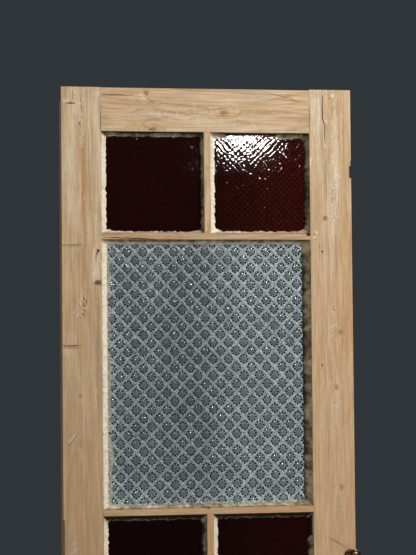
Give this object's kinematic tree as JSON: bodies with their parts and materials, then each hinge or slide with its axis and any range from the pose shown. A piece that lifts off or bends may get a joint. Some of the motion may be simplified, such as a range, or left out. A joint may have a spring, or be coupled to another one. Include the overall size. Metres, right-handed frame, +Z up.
{
  "type": "glazed pantry door",
  "caption": "Narrow stripped pine door leaf with small dark red panes above and below a large daisy-patterned pane, over a plain panel, with a small knob.",
  "frame": {"origin": "middle of the hinge edge: half way up the leaf and half way through its thickness", "axes": "+X across the leaf from the hinge edge to the lock edge, +Y from the puttied front face to the back face, +Z up"},
  "size_m": [0.612, 0.084, 1.981],
  "materials": {
    "pine": "bare stripped pine, worn and knotty",
    "ruby_glass": "very dark ruby glass, dimpled",
    "patterned_glass": "rolled glass, clear daisies on a stippled ground",
    "putty": "hard old putty, ragged and dirty",
    "aged_brass": "aged, dull"
  },
  "bodies": {
    "root": {"hinge_stile": "pine", "lock_stile": "pine", "top_rail": "pine", "mid_rail": "pine", "bottom_rail": "pine", "upper_glazing_bar": "pine", "lower_glazing_bar": "pine", "upper_muntin": "pine", "lower_muntin": "pine", "lower_panel": "pine", "pane_upper_left": "ruby_glass", "putty_upper_left": "putty", "pane_upper_right": "ruby_glass", "putty_upper_right": "putty", "pane_middle": "patterned_glass", "putty_middle": "putty", "pane_lower_left": "ruby_glass", "putty_lower_left": "putty", "pane_lower_right": "ruby_glass", "putty_lower_right": "putty", "knob": "aged_brass"}
  },
  "joints": []
}
